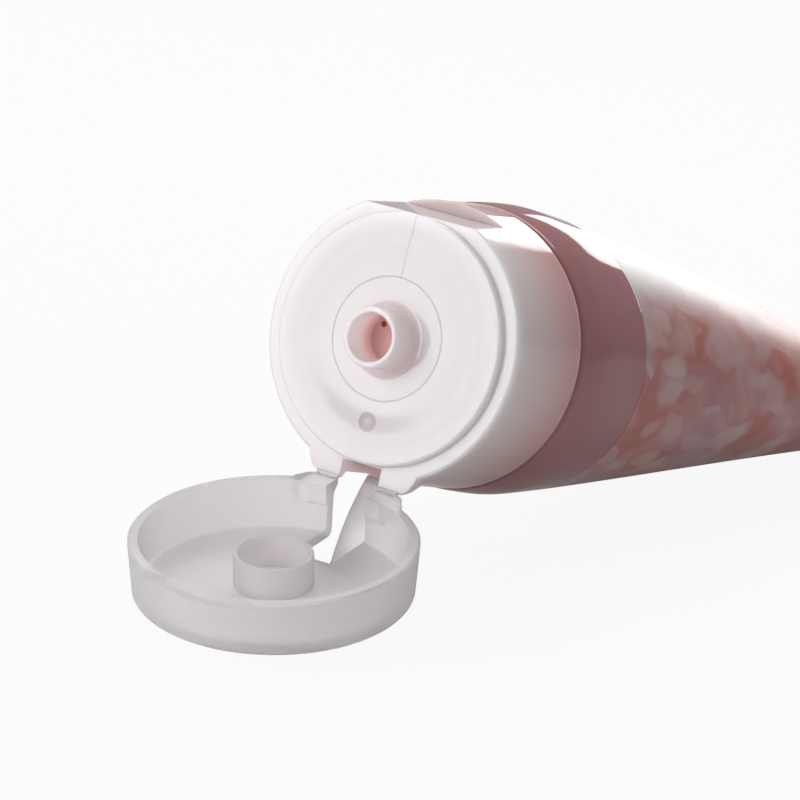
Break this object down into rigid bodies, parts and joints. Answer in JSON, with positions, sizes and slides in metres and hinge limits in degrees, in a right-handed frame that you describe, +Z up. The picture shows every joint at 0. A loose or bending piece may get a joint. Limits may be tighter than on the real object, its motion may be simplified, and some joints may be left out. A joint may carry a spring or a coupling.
{
  "type": "squeeze tube",
  "caption": "Round-ended plastic squeeze tube of hand cream with a crimped tail and a one-piece flip-top cap, lying with its lid open.",
  "frame": {"origin": "middle of the whole object's footprint, on the floor that it lies on", "axes": "-Y is the nozzle and lid end, +Y the crimped tail, +Z up, X across the tube with the plane X = 0 through the nozzle and the middle of the hinge"},
  "size_m": [0.064, 0.2094, 0.0525],
  "materials": {
    "cap_plastic": "slightly translucent natural white polypropylene, glossy",
    "sleeve_plastic": "glossy dusty rose polyethylene with printed fields of colour",
    "head_plastic": "glossy dusty rose polyethylene",
    "cream": "smooth pale pink cream"
  },
  "bodies": {
    "tube": {"cap_base": "cap_plastic", "tube_sleeve": "sleeve_plastic", "tube_head": "head_plastic", "cream_fill": "cream"},
    "lid": {"flip_lid": "cap_plastic"},
    "strap": {"hinge_strap": "cap_plastic"}
  },
  "joints": [
    {"name": "lid_hinge", "type": "hinge", "parent": "tube", "child": "lid", "pos_m": [0, -0.06603, 0.01546], "axis": [-1, 0, 0], "range_deg": [0, 113]},
    {"name": "strap_hinge", "type": "hinge", "parent": "tube", "child": "strap", "pos_m": [0, -0.05922, 0.01434], "axis": [-1, 0, 0], "range_deg": [0, 80]}
  ],
  "couplings": [
    {"joint": "strap_hinge", "follows": "lid_hinge", "ratio": 0.66941}
  ]
}
